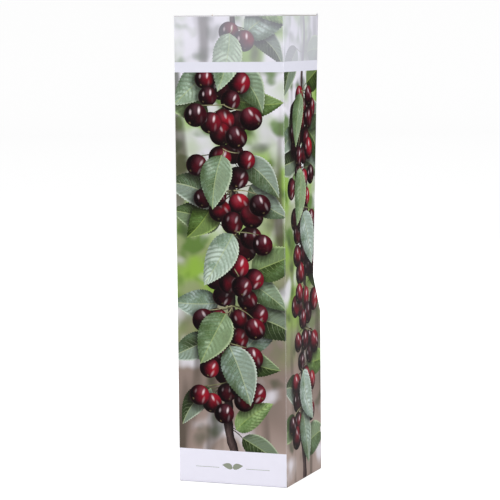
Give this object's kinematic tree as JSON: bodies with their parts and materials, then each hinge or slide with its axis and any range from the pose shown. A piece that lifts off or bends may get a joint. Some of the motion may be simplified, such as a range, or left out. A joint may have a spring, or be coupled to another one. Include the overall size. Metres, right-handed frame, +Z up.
{
  "type": "tall printed display carton for a potted fruit tree",
  "caption": "tall micro-flute board carton with a printed front and sides, a cut-away back above a closed pot box, a tuck lid on creased hinges and a folded bottom",
  "frame": {"origin": "middle of the carton's footprint, on the ground it stands on", "axes": "+Z up, the printed front faces -Y, +X is to the right as the front is read, +Y runs to the cut-away back"},
  "size_m": [0.21, 0.19, 0.852],
  "materials": {
    "printed_board": "litho-printed liner with a satin varnish",
    "white_board": "white liner with a satin varnish",
    "plain_board": "plain kraft liner"
  },
  "bodies": {
    "carton": {"front_panel": "printed_board", "left_panel": "printed_board", "right_panel": "printed_board", "back_panel": "printed_board", "seam_flap": "plain_board", "lock_tab": "plain_board", "bottom_rear_flap": "plain_board", "bottom_left_flap": "plain_board", "bottom_right_flap": "plain_board", "bottom_front_flap": "plain_board"},
    "lid": {"lid": "printed_board"},
    "tuck_flap": {"tuck_flap": "white_board"},
    "left_dust_flap": {"left_dust_flap": "white_board"},
    "right_dust_flap": {"right_dust_flap": "white_board"}
  },
  "joints": [
    {"name": "lid_crease", "type": "hinge", "parent": "carton", "child": "lid", "pos_m": [0, -0.0942, 0.8492], "axis": [1, 0, 0], "range_deg": [0, 180]},
    {"name": "tuck_crease", "type": "hinge", "parent": "lid", "child": "tuck_flap", "pos_m": [0, 0.0917, 0.8492], "axis": [1, 0, 0], "range_deg": [0, 90]},
    {"name": "left_dust_crease", "type": "hinge", "parent": "carton", "child": "left_dust_flap", "pos_m": [-0.1023, 0, 0.8473], "axis": [0, 1, 0], "range_deg": [0, 88]},
    {"name": "right_dust_crease", "type": "hinge", "parent": "carton", "child": "right_dust_flap", "pos_m": [0.1023, 0, 0.8473], "axis": [0, -1, 0], "range_deg": [0, 88]}
  ]
}
